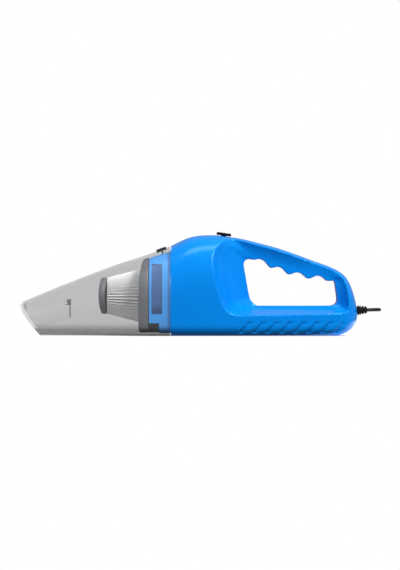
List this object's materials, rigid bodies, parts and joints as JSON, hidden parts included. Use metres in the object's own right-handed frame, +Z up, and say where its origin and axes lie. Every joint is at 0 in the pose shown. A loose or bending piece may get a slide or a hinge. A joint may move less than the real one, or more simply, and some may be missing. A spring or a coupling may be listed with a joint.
{
  "type": "handheld vacuum cleaner",
  "caption": "Hand-held 12 V car vacuum with a see-through slanted nozzle, pleated cone filter, loop handle with finger hollows and a coiled cord with an accessory plug.",
  "frame": {"origin": "middle of the underside of the vacuum itself, without its cord, on the surface it stands on", "axes": "+X towards the tail where the cord leaves, +Y towards the right-hand side seen from behind the handle, +Z up"},
  "size_m": [0.3961, 0.202, 0.1146],
  "materials": {
    "blue_shell": "glossy moulded ABS",
    "smoky_clear": "clear smoky moulded polystyrene",
    "black_plastic": "fine satin moulding",
    "grey_plastic": "satin moulding",
    "white_plastic": "satin moulding",
    "filter_cloth": "pleated non-woven",
    "black_rubber": "matt",
    "plated_steel": "zinc plated",
    "bronze": "sintered bronze",
    "brass": "stamped",
    "copper_winding": "enamelled wire",
    "cord_pvc": "soft PVC",
    "red_pvc": "soft PVC",
    "amber_ceramic": "dipped ceramic",
    "glass_tube": "clear"
  },
  "bodies": {
    "main_body": {"clamp_screw_1": "plated_steel", "clamp_screw_2": "plated_steel", "cord_clamp": "black_plastic", "cord_coil": "cord_pvc", "cord_lead": "cord_pvc", "cord_tail": "cord_pvc", "cord_tie": "black_plastic", "fan_shroud": "black_plastic", "front_bush": "bronze", "front_collar": "blue_shell", "housing_screw_1": "plated_steel", "housing_screw_2": "plated_steel", "housing_screw_3": "plated_steel", "housing_screw_4": "plated_steel", "housing_screw_5": "plated_steel", "housing_screw_6": "plated_steel", "latch_spring": "plated_steel", "left_housing": "blue_shell", "motor_bracket": "black_plastic", "motor_can": "plated_steel", "motor_end_cap": "white_plastic", "motor_lead": "cord_pvc", "motor_screw_1": "plated_steel", "motor_screw_2": "plated_steel", "motor_terminal_1": "brass", "motor_terminal_2": "brass", "noise_capacitor": "amber_ceramic", "plug_body": "black_plastic", "plug_fuse": "glass_tube", "plug_nose": "black_plastic", "plug_relief": "black_rubber", "rear_bush": "bronze", "right_housing": "blue_shell", "side_contact_1": "plated_steel", "side_contact_2": "plated_steel", "strain_relief": "black_rubber", "supply_lead": "red_pvc", "switch_base": "black_plastic", "switch_lead": "cord_pvc", "switch_terminal_1": "brass", "switch_terminal_2": "brass", "tip_spring": "plated_steel"},
    "rotor": {"motor_shaft": "plated_steel", "armature": "copper_winding", "impeller_nut": "brass", "impeller": "white_plastic"},
    "slider": {"switch_slider": "black_plastic"},
    "latch": {"latch_button": "black_plastic"},
    "nozzle_unit": {"nozzle": "smoky_clear", "inlet_duct": "smoky_clear", "flap_pin": "plated_steel"},
    "flap": {"inlet_flap": "black_rubber"},
    "filter_unit": {"filter_cap": "grey_plastic", "filter_pleats": "filter_cloth", "filter_core": "white_plastic", "filter_flange": "grey_plastic"},
    "plug_contact": {"plug_tip": "plated_steel"}
  },
  "joints": [
    {"name": "motor_spin", "type": "hinge", "parent": "main_body", "child": "rotor", "pos_m": [0, 0, 0.0435], "axis": [1, 0, 0], "continuous": true},
    {"name": "switch_slide", "type": "slide", "parent": "main_body", "child": "slider", "axis": [-0.9909, 0, 0.1346], "range_m": [0, 0.0045]},
    {"name": "latch_press", "type": "slide", "parent": "main_body", "child": "latch", "axis": [0.3505, 0, -0.9366], "range_m": [0, 0.0025], "stiffness_N_per_m": 800},
    {"name": "nozzle_release", "type": "slide", "parent": "main_body", "child": "nozzle_unit", "axis": [-1, 0, 0], "range_m": [0, 0.16]},
    {"name": "inlet_flap_swing", "type": "hinge", "parent": "nozzle_unit", "child": "flap", "pos_m": [-0.132, 0, 0.0376], "axis": [0, -1, 0], "range_deg": [0, 50]},
    {"name": "filter_pull", "type": "slide", "parent": "main_body", "child": "filter_unit", "axis": [-1, 0, 0], "range_m": [0, 0.065]},
    {"name": "plug_tip_press", "type": "slide", "parent": "main_body", "child": "plug_contact", "axis": [-1, 0, 0], "range_m": [0, 0.003], "stiffness_N_per_m": 1500}
  ],
  "couplings": [
    {"joint": "filter_pull", "follows": "nozzle_release", "ratio": 0.4}
  ]
}
